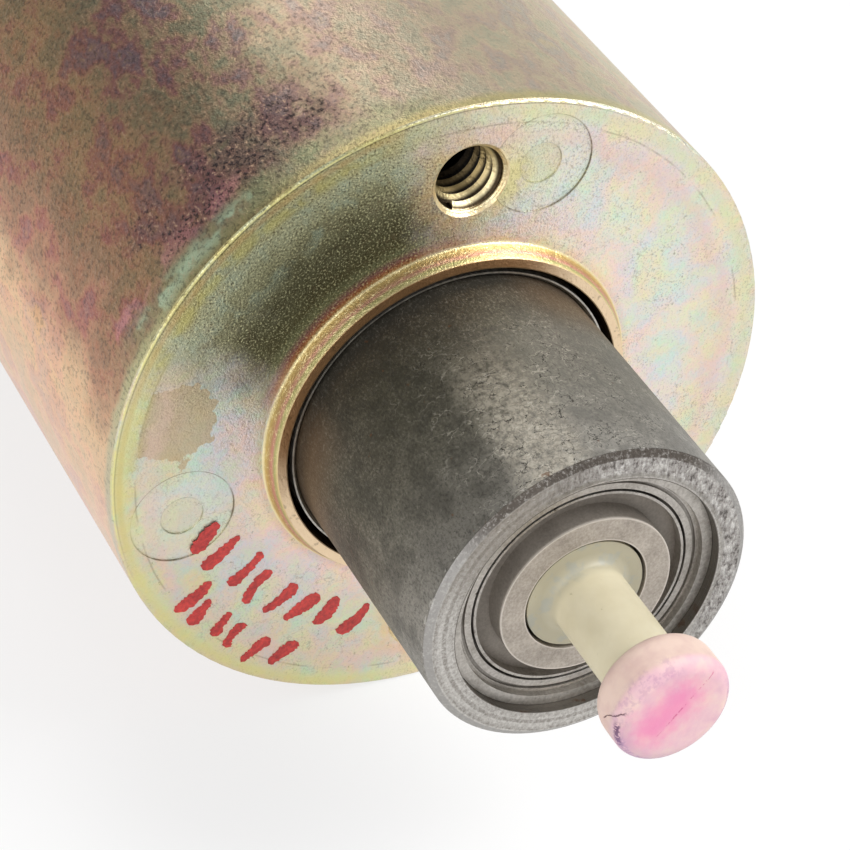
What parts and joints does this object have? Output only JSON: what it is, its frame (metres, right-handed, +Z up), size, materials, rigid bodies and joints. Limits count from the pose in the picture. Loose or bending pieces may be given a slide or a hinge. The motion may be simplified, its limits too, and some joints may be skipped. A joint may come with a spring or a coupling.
{
  "type": "starter solenoid",
  "caption": "Round starter solenoid in a plated steel housing, with a sprung plunger, a nylon pull pin and a terminal cap behind.",
  "frame": {"origin": "centre of the mounting face, on the solenoid's axis", "axes": "+X along the axis, out of the plunger end; +Z up through one tapped mounting hole; the solenoid lies on its side"},
  "size_m": [0.1987, 0.08, 0.08],
  "materials": {
    "yellow_zinc_steel": "yellow chromated zinc plate, speckled",
    "bright_steel": "drawn, bright",
    "red_fibre": "matt vulcanised fibre",
    "white_nylon": "moulded, matt",
    "copper_wire": "enamelled copper wire",
    "woven_tape": "woven cotton tape",
    "plain_steel": "turned steel",
    "spring_steel": "oiled spring steel",
    "black_rubber": "matt",
    "moulded_cap": "moulded thermoset, dull",
    "zinc_steel": "zinc plated",
    "copper_stud": "copper, lightly tarnished",
    "copper_disc": "bright copper",
    "brass_nut": "brass",
    "worn_steel": "dark steel, brushed and worn",
    "ring_steel": "grey steel",
    "sintered_bush": "matt light grey",
    "pin_nylon": "ivory nylon with pink marking dye on the head"
  },
  "bodies": {
    "case": {"housing": "yellow_zinc_steel", "guide_sleeve": "bright_steel", "front_insulator": "red_fibre", "rear_insulator": "red_fibre", "coil_bobbin": "white_nylon", "pull_in_winding": "copper_wire", "hold_in_winding": "copper_wire", "winding_wrap": "woven_tape", "fixed_core": "plain_steel", "plunger_return_spring": "spring_steel", "cap_gasket": "black_rubber", "terminal_cap": "moulded_cap", "cap_screws": "zinc_steel", "battery_stud": "copper_stud", "motor_stud": "copper_stud", "stud_seals": "black_rubber", "stud_washers": "zinc_steel", "clamp_nuts": "brass_nut", "lock_washers": "zinc_steel", "cable_nuts": "brass_nut", "switch_stud": "zinc_steel", "earth_stud": "zinc_steel", "small_nuts": "brass_nut", "switch_lead": "copper_wire", "earth_lead": "copper_wire", "motor_lead": "copper_wire", "carrier_spring": "spring_steel"},
    "plunger": {"plunger": "worn_steel", "retaining_ring": "ring_steel", "spring_retainer": "ring_steel", "pin_bush": "sintered_bush", "meshing_spring": "spring_steel"},
    "pull_pin": {"pull_pin": "pin_nylon"},
    "contact_rod": {"contact_rod": "plain_steel", "rod_washer": "zinc_steel", "rod_clip": "spring_steel", "contact_spring": "spring_steel"},
    "contact_bridge": {"contact_disc": "copper_disc", "front_insulating_bush": "moulded_cap", "rear_insulating_bush": "moulded_cap"}
  },
  "joints": [
    {"name": "plunger_slide", "type": "slide", "parent": "case", "child": "plunger", "axis": [1, 0, 0], "range_m": [-0.012, 0], "stiffness_N_per_m": 1200, "springref_m": 0.02, "deforming": ["plunger_return_spring"]},
    {"name": "pin_slide", "type": "slide", "parent": "plunger", "child": "pull_pin", "axis": [1, 0, 0], "range_m": [0, 0.006], "stiffness_N_per_m": 2500, "springref_m": -0.01, "deforming": ["meshing_spring"]},
    {"name": "rod_slide", "type": "slide", "parent": "case", "child": "contact_rod", "axis": [1, 0, 0], "range_m": [-0.004, 0], "stiffness_N_per_m": 800, "springref_m": 0.004, "deforming": ["carrier_spring"]},
    {"name": "bridge_slide", "type": "slide", "parent": "contact_rod", "child": "contact_bridge", "axis": [1, 0, 0], "range_m": [0, 0.001], "stiffness_N_per_m": 3000, "springref_m": -0.002, "deforming": ["contact_spring"]}
  ],
  "couplings": [
    {"joint": "rod_slide", "follows": "plunger_slide", "ratio": 0.3333},
    {"joint": "bridge_slide", "follows": "plunger_slide", "ratio": -0.0833}
  ]
}
